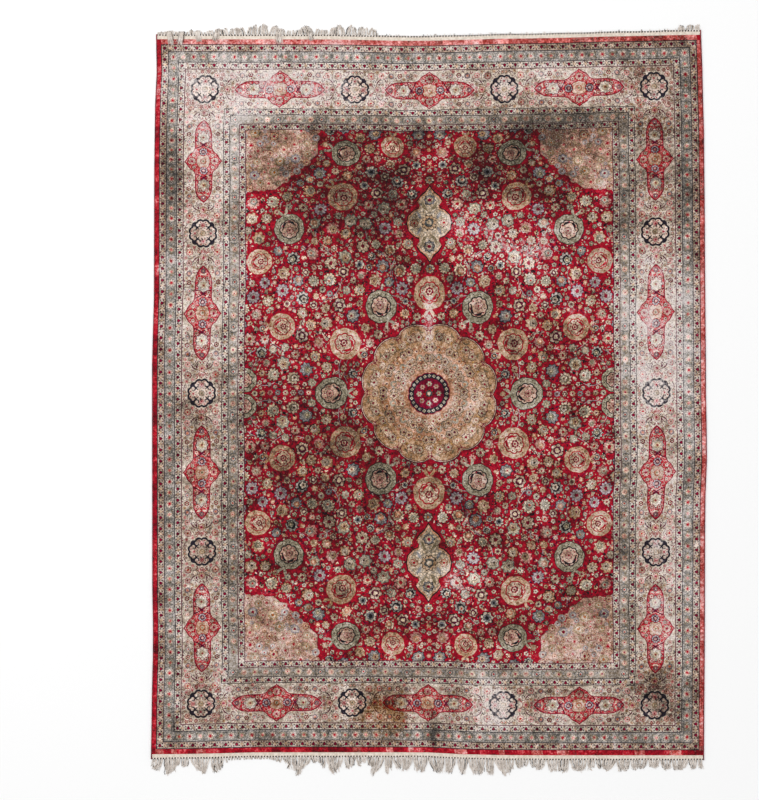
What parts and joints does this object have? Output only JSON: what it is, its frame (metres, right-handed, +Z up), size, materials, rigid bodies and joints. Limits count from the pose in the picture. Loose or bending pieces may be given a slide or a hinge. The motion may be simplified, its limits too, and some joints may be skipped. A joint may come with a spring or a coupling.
{
  "type": "hand-knotted silk rug",
  "caption": "Large rectangular hand-knotted silk rug with an uneven outline, overcast long sides and plain-woven end strips with knotted warp fringe, lying flat.",
  "frame": {"origin": "middle of the rug's underside, on the surface it lies on", "axes": "+Y along the rug's length towards the end that is up in the picture, +X across it to the right, +Z up through the pile"},
  "size_m": [2.5996, 3.5113, 0.0058],
  "materials": {
    "silk_pile": "satin",
    "selvedge_silk": "satin",
    "warp_silk": "satin"
  },
  "bodies": {
    "root": {"pile_panel": "silk_pile", "selvedge_left": "selvedge_silk", "selvedge_right": "selvedge_silk", "end_web_bottom": "warp_silk", "end_web_top": "warp_silk"}
  },
  "joints": []
}
